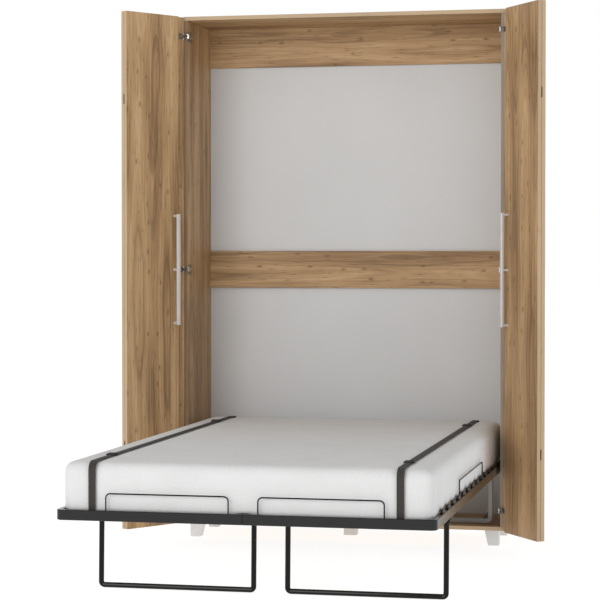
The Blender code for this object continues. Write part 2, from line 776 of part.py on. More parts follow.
def make_fold_hinge(leaf, name, z, swing, fold):
    """A small butt hinge let into both leaves: two knuckles on the outer one, one on the inner."""
    axis_s, axis_n = FOLD_AXIS
    x, y = leaf.at(axis_s, axis_n)
    tall = FOLD_HINGE_HALF
    middle = tall / 2
    plate_s = (OUTER_LEAF - FOLD_PLATE_LONG, axis_s - FOLD_KNUCKLE - GAP)
    for owner, pivot, levels, plate_n in (
        ("outer", swing, (-tall, -middle - GAP, middle + GAP, tall), (0.0005, 0.0017)),
        ("inner", fold, (-middle, middle), (-0.0015, -0.0027)),
    ):
        plate = leaf.slab(plate_s, plate_n, (z - tall + 0.0005, z + tall - 0.0005))
        half = solid(f"fold_hinge_{name}_{owner}", plate, "hinge_metal", pivot)
        lift = math.copysign(0.0001, plate_n[0])
        bridge_n = (plate_n[0] + lift, plate_n[1] * 0.95)
        pieces = []
        for low, high in zip(levels[::2], levels[1::2]):
            start = (x, y, z + low)
            barrel = washer(high - low, FOLD_PIN + GAP, FOLD_KNUCKLE, start, (0, 0, 1))
            bridge_s = (plate_s[1] - 0.002, axis_s - FOLD_PIN - GAP)
            bridge = leaf.slab(bridge_s, bridge_n, (z + low + 0.001, z + high - 0.001))
            for part, build in (("knuckle", barrel), ("bridge", bridge)):
                pieces.append(solid(f"{part}_{name}_{owner}_{low:.3f}", build, "hinge_metal"))
        if owner == "outer":
            shaft = leaf.post(axis_s, axis_n, (z - tall + 0.0010, z + tall - 0.0008), FOLD_PIN)
            base_z = (z - tall + 0.0006, z - tall + 0.0025)
            base = leaf.post(axis_s, axis_n, base_z, FOLD_PIN + 0.0008)
            pieces.append(solid(f"fold_pin_{name}", shaft, "hinge_metal"))
            pieces.append(solid(f"fold_pin_base_{name}", base, "hinge_metal"))
        fuse(half, pieces)


def make_door_hinge(leaf, name, z, swing):
    """A concealed hinge: an arm on the cabinet's side and a cup in the leaf, which turn on a pin."""
    sign = leaf.sign
    inner = INNER_WIDTH / 2 - GAP
    pin_x, pin_y = DOOR_AXIS
    lip = -0.0008

    def boxed(x_range, y_range, half_z):
        xs = sorted(sign * x for x in x_range)
        return block((xs[0], y_range[0], z - half_z), (xs[1], y_range[1], z + half_z))

    plate = boxed((inner - 0.002, inner), (0.006, ARM_LONG + 0.004), 0.020)
    arm = solid(f"door_hinge_arm_{name}", plate, "hinge_metal", ROOT)
    outline = [
        (inner - 0.001, 0.046), (inner - ARM_REACH, 0.046),
        (inner - ARM_REACH, pin_y - 0.0045), (pin_x - 0.001, pin_y - 0.0045),
        (pin_x + 0.003, pin_y - 0.0025), (pin_x + 0.003, pin_y + 0.0026),
        (pin_x - 0.001, pin_y + 0.0032), (inner - 0.001, lip),
    ]
    outline = [(sign * x, y) for x, y in outline]
    pieces = []
    for i, (low, high) in enumerate(((-0.0080, -0.0052), (0.0052, 0.0080))):
        cheek = prism(outline, z + low, z + high)
        pieces.append(solid(f"cheek_{name}_{i}", cheek, "hinge_metal"))
    body = boxed((inner - ARM_REACH + 0.0005, inner - 0.0012), (0.0005, ARM_LONG), 0.0095)
    pieces.append(solid(f"hinge_body_{name}", body, "hinge_metal"))
    shaft = rod((sign * pin_x, pin_y, z - 0.0070), (sign * pin_x, pin_y, z + 0.0070), DOOR_PIN)
    pieces.append(solid(f"hinge_pin_{name}", shaft, "hinge_metal"))
    fuse(arm, pieces)

    flange_s = (CUP_S - 0.012, CUP_S + 0.013)
    flange = leaf.slab(flange_s, (-0.0018, -0.0003), (z - FLANGE_HALF, z + FLANGE_HALF))
    cup = solid(f"door_hinge_cup_{name}", flange, "hinge_metal", swing)
    parts = {
        "bowl": leaf.stud(CUP_S, z, (-0.0010, CUP_DEEP), CUP_RADIUS, 20),
        "link": leaf.slab((0.0010, CUP_S), (-0.0040, -0.0009), (z - 0.0045, z + 0.0045)),
        "collar": leaf.post(0, 0, (z - 0.0045, z + 0.0045), DOOR_PIN + 0.0020, 16),
    }
    fuse(cup, [solid(f"{key}_{name}", build, "hinge_metal") for key, build in parts.items()])
    bore = leaf.post(0, 0, (z - 0.010, z + 0.010), DOOR_PIN + GAP, 16)
    cut(cup, [solid(f"link_bore_{name}", bore, "hinge_metal")])


def make_handle(leaf, side, s, face, fold):
    """A flat bar on three round posts."""
    wide, thick = HANDLE_BAR
    front = face - HANDLE_STAND_OFF
    bar_s, bar_n = (s - wide / 2, s + wide / 2), (front, front - thick)
    bar = leaf.slab(bar_s, bar_n, (HANDLE_LOW, HANDLE_HIGH))
    handle = soften(solid(f"handle_{side}", bar, "handle_metal", fold), 0.0012)
    inset = 0.008
    middle = (HANDLE_LOW + HANDLE_HIGH) / 2
    posts = []
    for i, z in enumerate((HANDLE_LOW + inset, middle, HANDLE_HIGH - inset)):
        stud = leaf.stud(s, z, (face - GAP, front - 0.003), HANDLE_POST)
        posts.append(solid(f"handle_post_{side}_{i}", stud, "handle_metal"))
    fuse(handle, posts)


clear_scene()
ROOT = empty("wall_bed", (0, 0, 0))
ROOT.location = CENTRE
BED = empty("bed_axis", (0, PIVOT_Y, PIVOT_Z), ROOT)
make_cabinet()
make_feet()
make_stand()
make_bed_frame()
make_legs()
make_gas_springs()
make_slats()
make_mattress()
make_straps()
make_wire_stops()
make_doors()
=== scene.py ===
"""Looks of the wall bed: its materials, the soft mattress, belts and slats, the light and the camera."""

import math

import bmesh
import bpy
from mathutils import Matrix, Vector


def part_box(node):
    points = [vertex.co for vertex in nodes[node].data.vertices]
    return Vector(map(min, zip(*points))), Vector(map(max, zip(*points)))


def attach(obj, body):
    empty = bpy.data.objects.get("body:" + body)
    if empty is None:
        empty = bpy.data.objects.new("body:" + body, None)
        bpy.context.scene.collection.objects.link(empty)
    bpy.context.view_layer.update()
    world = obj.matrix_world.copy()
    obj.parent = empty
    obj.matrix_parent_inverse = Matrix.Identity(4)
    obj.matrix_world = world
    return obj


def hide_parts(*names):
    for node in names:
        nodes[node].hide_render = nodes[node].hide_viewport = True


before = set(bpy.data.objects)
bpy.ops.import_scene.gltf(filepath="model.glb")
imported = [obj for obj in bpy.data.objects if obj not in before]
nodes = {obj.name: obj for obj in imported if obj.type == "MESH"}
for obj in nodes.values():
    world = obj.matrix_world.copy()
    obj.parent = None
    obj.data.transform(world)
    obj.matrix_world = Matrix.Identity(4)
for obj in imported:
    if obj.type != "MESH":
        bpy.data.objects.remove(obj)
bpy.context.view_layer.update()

SIDES = (("left", -1), ("right", 1))
X = Vector((1, 0, 0))
Y = Vector((0, 1, 0))
Z = Vector((0, 0, 1))

# Lengths are in metres and colours are linear RGB, unless a line says otherwise

# Camera: pitch and turn in degrees, lens and sensor in mm
CAMERA_PLACE = (1.57516, -7.41509, 1.18012)
CAMERA_PITCH = -1.334
CAMERA_TURN = 12.224
CAMERA_LENS = 120.94
CAMERA_SENSOR = 36
CAMERA_FAR = 200

# Mattress cover: its grid, its distance inside the CAD mattress, its corners, and how far it may swell
MATTRESS_CELL = 0.016
MATTRESS_INSET = 0.0012
MATTRESS_ROUND = 0.034
FOOT_CREASE = 0.9
SWELL = 0.0030
SWELL_FRAMES = 20

# Where a belt presses the cover: the dent's reach to each side, and its depth on top and at the ends
PRESS_REACH = 0.022
PRESS_TOP = 0.0052
PRESS_END = 0.0045
END_BAND = 0.03

# How far the cover hangs before the first slat, and how much further between the frame's tubes (SAG_X)
FRONT_HANG = 0.0064
HANG_FADE = 0.030
FRONT_SAG = 0.0040
SAG_X = (0.024, 0.615)
SAG_FADE = 0.02

# Belts: section, and the number of points down an end, round a corner and along the top
BELT_WIDTH = 0.0250
BELT_THICK = 0.0016
BELT_LIP = 0.0005
BELT_CROWN = 0.0001
DROP_STEPS = 4
BEND_STEPS = 8
TOP_STEPS = 24

# Buckles: a bar is its place along the buckle, as a share of its length, and its height over the belt
BUCKLE_FROM_FRONT = {"left": 0.229, "right": 0.185}
BUCKLE_FROM_HEAD = 0.310
BUCKLE_CLEAR = 0.0015
BUCKLE_WALL = 0.004
BUCKLE_LONG = 0.034
BUCKLE_TALL = 0.0045
BUCKLE_SUNK = 0.001
BUCKLE_ROUND = 0.0012
BUCKLE_BARS = ((-0.4, 0.0006), (0.05, 0.0035), (0.4, 0.0006))
BAR_HALF = 0.0024
BAR_TALL = 0.0036

# The belt's loose end: half its width and thickness, its lowest height and its arch over the buckle.
# Its length and how far back it starts are shares of the buckle's length.
TAIL_HALF = 0.0125
TAIL_THIN = 0.0006
TAIL_LOW = 0.0010
TAIL_ARCH = 0.0052
TAIL_ARCH_ENDS = 1.15
TAIL_LONG = 1.5
TAIL_BACK = 0.55
TAIL_STEPS = 12

# Slats and their holders
SLAT_COUNT = 14
SLAT_WIDTH = 0.053
SLAT_ROUND = 0.0025
SLAT_SKIN = 0.0003
SLAT_INNER_END = 0.012
SLAT_OUTER_GAP = 0.008
HOLDER_WIDTH = 0.052
HOLDER_TALL = 0.0135
HOLDER_ROUND = 0.003
HOLDER_ROUND_STEPS = 3
HOLDER_FROM_MATTRESS = 0.0015
HOLDER_PAST_DECK = 0.003
MIDDLE_HOLDER_HALF = 0.020
MIDDLE_HOLDER_ROUND = 0.002

# Door hinges: from the arm's inner face to its mounting plate, and half the blur between their metals
HINGE_ARM_THICK = 0.0045
HINGE_BLUR = 0.0003

# Light: the sky is white up to the first height of its band and SKY_TOP above the second; power in watts
SKY_BAND = (0.17, 0.75)
SKY_TOP = 0.52
KEY_POWER = 104
KEY_PLACE = (-2.2, -6.5, 2.6)
KEY_TARGET = (0, 0.3, 0.9)
KEY_SIZE = (3.0, 2.5)

# Floor: from its middle to an edge, how far it lies below the feet, its glow and its tones
FLOOR_REACH = 60.0
FLOOR_BELOW = 0.0005
FLOOR_GLOW = 0.84
FLOOR_TONES = ((0.3, (0.34, 0.34, 0.34)), (0.7, (0.36, 0.36, 0.36)))

# Oak: the print from dark to light, then its late wood, pores, knots, shaded wood beside cracks, and cracks
OAK_TONES = (
    (0.38, (0.206, 0.115, 0.052)),
    (0.46, (0.346, 0.209, 0.103)),
    (0.52, (0.466, 0.295, 0.147)),
    (0.63, (0.610, 0.416, 0.232)),
)
OAK_LATE = (0.200, 0.118, 0.060)
OAK_PORE = (0.110, 0.064, 0.033)
OAK_KNOT = (0.190, 0.108, 0.054)
OAK_SHADE = (0.150, 0.090, 0.050)
OAK_CRACK = (0.034, 0.024, 0.017)

# The boards' edge banding, and how much darker the lines in it are. The side panels' front edges share one
# banding: the left one's brown is painted shade and the right one's grey is a painted sheen
BAND_DARKER = 0.72
BAND_BROWN_PAINTED_SHADE = (0.230, 0.148, 0.082)
BAND_GREY_PAINTED_SHEEN = (0.330, 0.300, 0.262)
BAND_BEIGE = (0.560, 0.420, 0.275)

# Other boards, wood and cloth, as stops of a ramp
BACK_TONES = ((0.3, (0.628, 0.628, 0.627)), (0.7, (0.660, 0.660, 0.660)))
BEECH_TONES = ((0.30, (0.43, 0.29, 0.165)), (0.52, (0.58, 0.42, 0.26)), (0.72, (0.68, 0.52, 0.35)))
BEECH_FLECK = (0.30, 0.18, 0.095)
CLOTH_TONES = ((0.32, (0.690, 0.690, 0.685)), (0.68, (0.775, 0.775, 0.772)))
CLOTH_THREAD = 0.0021
WEBBING_TONES = (
    (0.1, (0.018, 0.016, 0.014)),
    (0.55, (0.046, 0.041, 0.037)),
    (0.9, (0.095, 0.086, 0.078)),
)
WEBBING_RIB = 0.0024
WEBBING_RIDGE = 0.0043

# Coats and plastics, darker and lighter
BLACK_COAT = ((0.0030, 0.0028, 0.0026), (0.006, 0.0055, 0.005))
BLACK_TUBE = ((0.0024, 0.0022, 0.0020), (0.0050, 0.0046, 0.0042))
SILVER_COAT = ((0.27, 0.262, 0.25), (0.33, 0.322, 0.31))
BLACK_PLATE = ((0.012, 0.012, 0.012), (0.022, 0.022, 0.022))
BLACK_MOULDING = ((0.004, 0.004, 0.004), (0.008, 0.008, 0.008))
WHITE_FOOT = ((0.68, 0.68, 0.675), (0.74, 0.74, 0.735))

# Metals
METAL_DARKER = 0.86
BRUSH_STRETCH = 0.985
HANDLE_METAL = (0.76, 0.755, 0.745)
HINGE_NICKEL = (0.34, 0.33, 0.32)
FOLD_BRONZE = (0.11, 0.08, 0.06)
PISTON_CHROME = (0.72, 0.72, 0.73)
HINGE_STEEL = ((0.35, (0.50, 0.49, 0.48)), (0.62, (0.60, 0.59, 0.58)))
HINGE_PLATE = (0.150, 0.128, 0.108)


# Node graphs


class Graph:
    """A material whose nodes are added by name; an input given a socket is linked to it."""

    def __init__(self, name):
        self.material = bpy.data.materials.new(name)
        self.material.use_nodes = True
        self.tree = self.material.node_tree
        self.tree.nodes.clear()
        self.place = self.add("ShaderNodeTexCoord").outputs["Object"]

    def add(self, kind, inputs=None, **settings):
        node = self.tree.nodes.new(kind)
        for key, value in settings.items():
            setattr(node, key, value)
        for key, value in (inputs or {}).items():
            if isinstance(value, bpy.types.NodeSocket):
                self.tree.links.new(value, node.inputs[key])
            else:
                node.inputs[key].default_value = value
        return node

    def math(self, operation, a, b=0.0, c=0.0):
        node = self.add("ShaderNodeMath", {0: a, 1: b, 2: c}, operation=operation)
        return node.outputs[0]

    def dot(self, vector, direction):
        inputs = {0: vector, 1: tuple(direction)}
        return self.add("ShaderNodeVectorMath", inputs, operation="DOT_PRODUCT").outputs["Value"]

    def vector(self, x=0.0, y=0.0, z=0.0):
        return self.add("ShaderNodeCombineXYZ", {0: x, 1: y, 2: z}).outputs[0]

    def scaled(self, value, factor, shift=0.0):
        return self.math("MULTIPLY_ADD", value, factor, shift)

    def noise(self, vector, scale=1.0, detail=3.0, rough=0.55):
        inputs = {"Vector": vector, "Scale": scale, "Detail": detail, "Roughness": rough}
        return self.add("ShaderNodeTexNoise", inputs).outputs["Fac"]

    def line_noise(self, value, scale, detail=2.0):
        inputs = {"W": value, "Scale": scale, "Detail": detail}
        return self.add("ShaderNodeTexNoise", inputs, noise_dimensions="1D").outputs["Fac"]

    def step(self, value, low, high):
        """Goes smoothly from 0 to 1 as value goes from low to high."""
        inputs = {0: value, 1: low, 2: high}
        node = self.add("ShaderNodeMapRange", inputs, interpolation_type="SMOOTHSTEP")
        return node.outputs[0]

    def ramp(self, value, stops):
        """Turns a value into a colour by stops of (value, colour)."""
        node = self.add("ShaderNodeValToRGB", {0: value})
        elements = node.color_ramp.elements
        while len(elements) < len(stops):
            elements.new(0.5)
        for element, (place, colour) in zip(elements, stops):
            element.position = place
            element.color = (*colour, 1)
        return node.outputs[0]

    def mix(self, amount, a, b):
        """Mixes two colours, from a at 0 to b at 1; each may be a socket or plain RGB."""
        colours = {
            key: value if isinstance(value, bpy.types.NodeSocket) else (*value, 1)
            for key, value in ((6, a), (7, b))
        }
        node = self.add("ShaderNodeMix", data_type="RGBA")
        for key, value in {0: amount, **colours}.items():
            if isinstance(value, bpy.types.NodeSocket):
                self.tree.links.new(value, node.inputs[key])
            else:
                node.inputs[key].default_value = value
        return node.outputs[2]

    def bump(self, height, distance, strength, normal=None):
        inputs = {"Height": height, "Distance": distance, "Strength": strength}
        if normal:
            inputs["Normal"] = normal
        return self.add("ShaderNodeBump", inputs).outputs[0]

    def finish(self, colour, roughness, normal=None, **plain):
        """Closes the graph with its shader; plain values are set on the shader's own inputs."""
        inputs = {"Base Color": colour, "Roughness": roughness}
        if normal:
            inputs["Normal"] = normal
        inputs.update({key.replace("_", " "): value for key, value in plain.items()})
        shader = self.add("ShaderNodeBsdfPrincipled", inputs)
        self.add("ShaderNodeOutputMaterial", {"Surface": shader.outputs[0]})
        return self.material


def oak(name, across, along, seed, band=None, band_colour=None):
    """Craft oak board: grain in long arches, fine pores, knots and dark cracks, with a plainer edge band.

    u and w are places across and along the grain, so a number they are scaled by is a count per metre.
    """
    g = Graph(name)
    u = g.math("ADD", g.dot(g.place, across), seed * 1.37)
    w = g.math("ADD", g.dot(g.place, along), seed * 2.71)
    depth = g.dot(g.place, Vector(across).cross(Vector(along)))

    def spots(fine_across, fine_along, share, shift):
        """Distance to scattered points, and 1 in the share of their cells that hold a mark."""
        wobble = g.noise(g.vector(g.scaled(u, 9), g.scaled(w, 6), shift), detail=1.0)
        cells = g.vector(
            g.scaled(g.math("ADD", u, g.scaled(wobble, 0.016)), fine_across, shift),
            g.scaled(w, fine_along, shift),
        )
        cell = g.add("ShaderNodeTexVoronoi", {"Vector": cells}, voronoi_dimensions="2D")
        which = g.add("ShaderNodeSeparateColor", {0: cell.outputs["Color"]}).outputs[0]
        return cell.outputs["Distance"], g.step(which, share, share - 0.02)

    knot, has_knot = spots(fine_across=3.6, fine_along=1.7, share=0.42, shift=0.0)
    near_knot = g.math("MULTIPLY", g.step(knot, 0.16, 0.0), has_knot)

    # f is the distance from the log's heart, which wanders across the board and in and out of its face
    wander = g.noise(g.vector(g.scaled(w, 0.9), seed), detail=2.0)
    heart = g.math("SINE", g.scaled(g.math("ADD", u, g.scaled(wander, 0.09)), 21.0))
    heart = g.scaled(heart, 0.050)
    cut = g.noise(g.vector(g.scaled(w, 0.75), g.scaled(u, 1.2), seed + 4.0), detail=2.0)
    cut = g.scaled(cut, 0.15, -0.035)
    squares = g.math("ADD", g.math("MULTIPLY", heart, heart), g.math("MULTIPLY", cut, cut))
    ripple = g.noise(g.vector(g.scaled(u, 16), g.scaled(w, 1.6)), detail=1.0)
    f = g.math("ADD", g.math("SQRT", squares), g.scaled(ripple, 0.009))
    f = g.math("ADD", f, g.scaled(near_knot, 0.014))

    rings = g.line_noise(f, 150.0, 3.0)
    broad = g.line_noise(f, 30.0, 1.0)
    straight = g.noise(g.vector(g.scaled(u, 190), g.scaled(w, 2.2), depth), detail=4.0, rough=0.62)
    patch = g.noise(g.vector(g.scaled(u, 7.0), g.scaled(w, 1.3), depth), detail=3.0)
    tone = g.scaled(rings, 0.15)
    for part, share in ((broad, 0.25), (straight, 0.30), (patch, 0.30)):
        tone = g.math("ADD", tone, g.scaled(part, share))
    colour = g.ramp(tone, OAK_TONES)

    # Thin lines of late wood where the patches are dark, and fine pores everywhere
    late = g.step(g.line_noise(f, 210.0, 1.0), 0.56, 0.70)
    late = g.math("MULTIPLY", late, g.step(patch, 0.64, 0.44))
    colour = g.mix(g.scaled(late, 0.52), colour, OAK_LATE)
    pores = g.noise(g.vector(g.scaled(u, 900), g.scaled(w, 16), g.scaled(depth, 900)), detail=2.0)
    pore_dark = g.step(pores, 0.55, 0.72)
    colour = g.mix(g.scaled(pore_dark, 0.38), colour, OAK_PORE)

    # Knots and cracks: soft shade round each, then the near-black mark itself
    split, has_split = spots(fine_across=18.0, fine_along=1.2, share=0.42, shift=5.0)
    fleck, has_fleck = spots(fine_across=34.0, fine_along=3.0, share=0.10, shift=11.0)
    shade = g.math("MULTIPLY", g.step(split, 0.22, 0.05), has_split)
    colour = g.mix(g.scaled(near_knot, 0.50), colour, OAK_KNOT)
    colour = g.mix(g.scaled(shade, 0.30), colour, OAK_SHADE)
    dark = g.math("MULTIPLY", g.step(split, 0.070, 0.022), has_split)
    for mark in (
        g.math("MULTIPLY", g.step(fleck, 0.055, 0.015), has_fleck),
        g.math("MULTIPLY", g.step(knot, 0.026, 0.008), has_knot),
    ):
        dark = g.math("MAXIMUM", dark, mark)
    colour = g.mix(g.scaled(dark, 0.85), colour, OAK_CRACK)

    if band:
        normal = g.add("ShaderNodeNewGeometry").outputs["Normal"]
        on_band = g.step(g.dot(normal, band), 0.80, 0.90)
        darker = tuple(BAND_DARKER * part for part in band_colour)
        plain = g.mix(g.scaled(straight, 0.5), band_colour, darker)
        colour = g.mix(g.scaled(on_band, 0.80), colour, plain)

    relief = g.math("ADD", g.scaled(pore_dark, -0.5), g.scaled(dark, -1.0))
    relief = g.math("ADD", relief, g.scaled(straight, 0.4))
    rough = g.math("ADD", g.scaled(pores, 0.16), g.scaled(dark, 0.2, 0.40))
    return g.finish(colour, rough, g.bump(relief, 0.0003, 0.7), Specular_IOR_Level=0.26)


def back_board():
    """Thin grey fibreboard with the faint mottling of its print."""
    g = Graph("grey_back_board")
    cloud = g.noise(g.place, 3.0, 3.0)
    speck = g.noise(g.place, 420.0, 2.0)
    tone = g.math("ADD", g.scaled(cloud, 0.7), g.scaled(speck, 0.3))
    colour = g.ramp(tone, BACK_TONES)
    normal = g.bump(speck, 0.0002, 0.5)
    return g.finish(colour, g.scaled(speck, 0.12, 0.48), normal, Specular_IOR_Level=0.35)


def cloth():
    """White woven ticking: a fine plain weave, soft slubs and slack."""
    g = Graph("mattress_ticking")
    thread = 2 * math.pi / CLOTH_THREAD
    waves = [g.math("SINE", g.scaled(g.dot(g.place, axis), thread)) for axis in (X, Y, Z)]
    weave = g.math("ADD", g.math("ADD", waves[0], waves[1]), waves[2])
    slub = g.noise(g.place, 190.0, 3.0)
    slack = g.noise(g.place, 7.0, 3.0)
    tone = g.math("ADD", g.scaled(slub, 0.6), g.scaled(slack, 0.4))
    colour = g.ramp(tone, CLOTH_TONES)
    normal = g.bump(slack, 0.004, 0.35)
    normal = g.bump(slub, 0.0006, 0.6, normal)
    normal = g.bump(weave, 0.00012, 0.6, normal)
    return g.finish(
        colour, g.scaled(slub, 0.15, 0.78), normal,
        Specular_IOR_Level=0.2, Sheen_Weight=0.12, Sheen_Roughness=0.6,
    )


def belt_webbing():
    """Dark grey polypropylene webbing, ribbed across and ridged along."""
    g = Graph("belt_webbing")
    run = g.math("ADD", g.dot(g.place, Y), g.dot(g.place, Z))
    ribs = g.math("SINE", g.scaled(run, 2 * math.pi / WEBBING_RIB))
    ridges = g.math("SINE", g.scaled(g.dot(g.place, X), 2 * math.pi / WEBBING_RIDGE))
    fibre = g.noise(g.place, 900.0, 2.0)
    height = g.math("ADD", ribs, g.scaled(ridges, 0.8))
    height = g.math("ADD", height, g.scaled(fibre, 0.7))
    colour = g.ramp(g.scaled(height, 0.25, 0.45), WEBBING_TONES)
    return g.finish(
        colour, g.scaled(fibre, 0.15, 0.62), g.bump(height, 0.0003, 0.7),
        Specular_IOR_Level=0.20, Sheen_Weight=0.05, Sheen_Roughness=0.5,
    )


def coated_steel(name, colours, roughness, shine):
    """Powder coat over steel: fine orange peel, and roughness that wanders a little with handling."""
    g = Graph(name)
    peel = g.noise(g.place, 520.0, 2.0)
    wander = g.noise(g.place, 9.0, 3.0)
    dust = g.noise(g.place, 60.0, 4.0)
    tone = g.math("ADD", g.scaled(wander, 0.6), g.scaled(dust, 0.4))
    colour = g.ramp(tone, [(0.35, colours[0]), (0.65, colours[1])])
    rough = g.math("ADD", g.scaled(wander, 0.10), g.scaled(dust, 0.06, roughness - 0.08))
    return g.finish(colour, rough, g.bump(peel, 0.00010, 0.25), Specular_IOR_Level=shine)


def metal(name, colour, roughness, along=None, metallic=1.0):
    """Bare or plated metal, brushed along one direction if one is given."""
    g = Graph(name)
    place = g.place
    if along:
        stretch = tuple(Vector((1, 1, 1)) - BRUSH_STRETCH * along)
        place = g.add("ShaderNodeMapping", {"Vector": g.place, "Scale": stretch}).outputs[0]
    brush = g.noise(place, 900.0, 3.0)
    wear = g.noise(g.place, 22.0, 3.0)
    tone = g.math("ADD", g.scaled(brush, 0.5), g.scaled(wear, 0.5))
    darker = tuple(METAL_DARKER * part for part in colour)
    tint = g.ramp(tone, [(0.35, darker), (0.62, colour)])
    rough = g.math("ADD", g.scaled(brush, 0.14), g.scaled(wear, 0.08, roughness - 0.10))
    return g.finish(tint, rough, g.bump(brush, 0.00006, 0.5), Metallic=metallic)


def hinge_steel(plate_from):
    """Polished steel arm; what lies further out than plate_from is its duller mounting plate."""
    g = Graph("hinge_steel")
    brush = g.noise(g.place, 700.0, 3.0)
    out = g.math("ABSOLUTE", g.dot(g.place, X))
    on_plate = g.step(out, plate_from - HINGE_BLUR, plate_from + HINGE_BLUR)
    colour = g.mix(on_plate, g.ramp(brush, HINGE_STEEL), HINGE_PLATE)
    rough = g.math("ADD", g.scaled(brush, 0.12, 0.16), g.scaled(on_plate, 0.25))
    return g.finish(colour, rough, g.bump(brush, 0.00006, 0.5), Metallic=0.9)


def plastic(name, colours, roughness):
    """Moulded plastic with a fine spark-eroded grain."""
    g = Graph(name)
    skin = g.noise(g.place, 480.0, 2.0)
    cloud = g.noise(g.place, 14.0, 2.0)
    tone = g.math("ADD", g.scaled(skin, 0.4), g.scaled(cloud, 0.6))
    colour = g.ramp(tone, [(0.35, colours[0]), (0.65, colours[1])])
    return g.finish(
        colour, g.scaled(skin, 0.14, roughness - 0.07), g.bump(skin, 0.00012, 0.45),
        Specular_IOR_Level=0.45,
    )


def beech():
    """Pale laminated beech with short darker flecks along the slat."""
    g = Graph("slat_beech")
    along = g.dot(g.place, X)
    across = g.dot(g.place, Y)
    up = g.dot(g.place, Z)
    line = g.noise(g.vector(g.scaled(along, 6.0), g.scaled(across, 150), g.scaled(up, 700)), detail=3)
    fleck = g.noise(g.vector(g.scaled(along, 90), g.scaled(across, 900), g.scaled(up, 900)), detail=1)
    colour = g.ramp(line, BEECH_TONES)
    spots = g.step(fleck, 0.60, 0.72)
    colour = g.mix(g.scaled(spots, 0.4), colour, BEECH_FLECK)
    return g.finish(
        colour, g.scaled(line, 0.15, 0.42), g.bump(fleck, 0.0002, 0.4), Specular_IOR_Level=0.4
    )


# Mesh helpers


def piece(name, bm, material, body, smooth=True):
    """Makes an object of a bmesh, with a material and a body to ride on."""
    mesh = bpy.data.meshes.new(name)
    bmesh.ops.recalc_face_normals(bm, faces=bm.faces)
    bm.to_mesh(mesh)
    bm.free()
    mesh.materials.append(material)
    for polygon in mesh.polygons:
        polygon.use_smooth = smooth
    obj = bpy.data.objects.new(name, mesh)
    bpy.context.scene.collection.objects.link(obj)
    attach(obj, body)
    return obj


def add_box(bm, low, high, rounding, segments=2):
    """Adds a box with rounded edges to a bmesh."""
    made = bmesh.ops.create_cube(bm, size=1.0)["verts"]
    low, high = Vector(low), Vector(high)
    centre, size = (low + high) / 2, high - low
    for vertex in made:
        vertex.co = centre + Vector(a * b for a, b in zip(vertex.co, size))
    edges = list({edge for vertex in made for edge in vertex.link_edges})
    bmesh.ops.bevel(
        bm, geom=edges, offset=rounding, segments=segments, profile=0.5, affect="EDGES"
    )


def add_sweep(bm, path, profile):
    """Adds a bar of a profile (x, normal), closed at both ends, along a path in the YZ plane."""
    last = len(path) - 1
    rings = []
    for i, place in enumerate(path):
        along = (path[min(i + 1, last)] - path[max(i - 1, 0)]).normalized()
        normal = along.cross(X)
        rings.append([bm.verts.new(place + X * x + normal * n) for x, n in profile])
    sides = len(profile)
    for a, b in zip(rings, rings[1:]):
        for j in range(sides):
            k = (j + 1) % sides
            bm.faces.new((a[j], a[k], b[k], b[j]))
    bm.faces.new(rings[0])
    bm.faces.new(reversed(rings[-1]))


# Mattress


def rounded_block(low, high, radius, cell):
    """A closed block of even quads, with round upright corners and top edges.

    Its bottom edge is square, and creased so that smoothing keeps it so.
    """
    bm = bmesh.new()
    size = high - low
    counts = [max(2, round(length / cell)) for length in size]
    core_low = Vector((low.x + radius, low.y + radius, low.z))
    core_high = high - Vector((radius,) * 3)
    seen = {}

    def vertex(cells):
        if cells not in seen:
            spot = Vector(low[i] + size[i] * cells[i] / counts[i] for i in range(3))
            inner = Vector(min(max(spot[i], core_low[i]), core_high[i]) for i in range(3))
            out = spot - inner
            reach = max(abs(part) for part in out)
            seen[cells] = bm.verts.new(inner + out.normalized() * reach)
        return seen[cells]

    for axis in range(3):
        one, two = (axis + 1) % 3, (axis + 2) % 3
        for end in (0, counts[axis]):
            for a in range(counts[one]):
                for b in range(counts[two]):
                    corners = []
                    for da, db in ((0, 0), (1, 0), (1, 1), (0, 1)):
                        cells = [0, 0, 0]
                        cells[axis], cells[one], cells[two] = end, a + da, b + db
                        corners.append(vertex(tuple(cells)))
                    bm.faces.new(corners if end else reversed(corners))
    bm.normal_update()
    crease = bm.edges.layers.float.new("crease_edge")
    for edge in bm.edges:
        level = [abs(face.normal.z) > 0.9 for face in edge.link_faces]
        at_bottom = all(vertex.co.z < low.z + 1e-5 for vertex in edge.verts)
        if at_bottom and any(level) and not all(level):
            edge[crease] = FOOT_CREASE
    return bm


def swell(obj, limit):
    """Blows the cover up with a short cloth simulation, and keeps each point within the limit."""
    start = [vertex.co.copy() for vertex in obj.data.vertices]
    modifier = obj.modifiers.new("Cloth", "CLOTH")
    settings = modifier.settings
    settings.quality = 4
    settings.mass = 0.25
    settings.tension_stiffness = 22
    settings.compression_stiffness = 12
    settings.shear_stiffness = 8
    settings.bending_stiffness = 0.4
    settings.use_pressure = True
    settings.uniform_pressure_force = 4
    settings.effector_weights.gravity = 0
    scene = bpy.context.scene
    for number in range(1, SWELL_FRAMES + 1):
        scene.frame_set(number)
    graph = bpy.context.evaluated_depsgraph_get()
    blown = obj.evaluated_get(graph).data
    places = [vertex.co.copy() for vertex in blown.vertices]
    obj.modifiers.remove(modifier)
    scene.frame_set(1)
    for vertex, old, new in zip(obj.data.vertices, start, places):
        move = new - old
        length = move.length
        if length > 0:
            vertex.co = old + move * (limit * math.tanh(length / limit) / length)


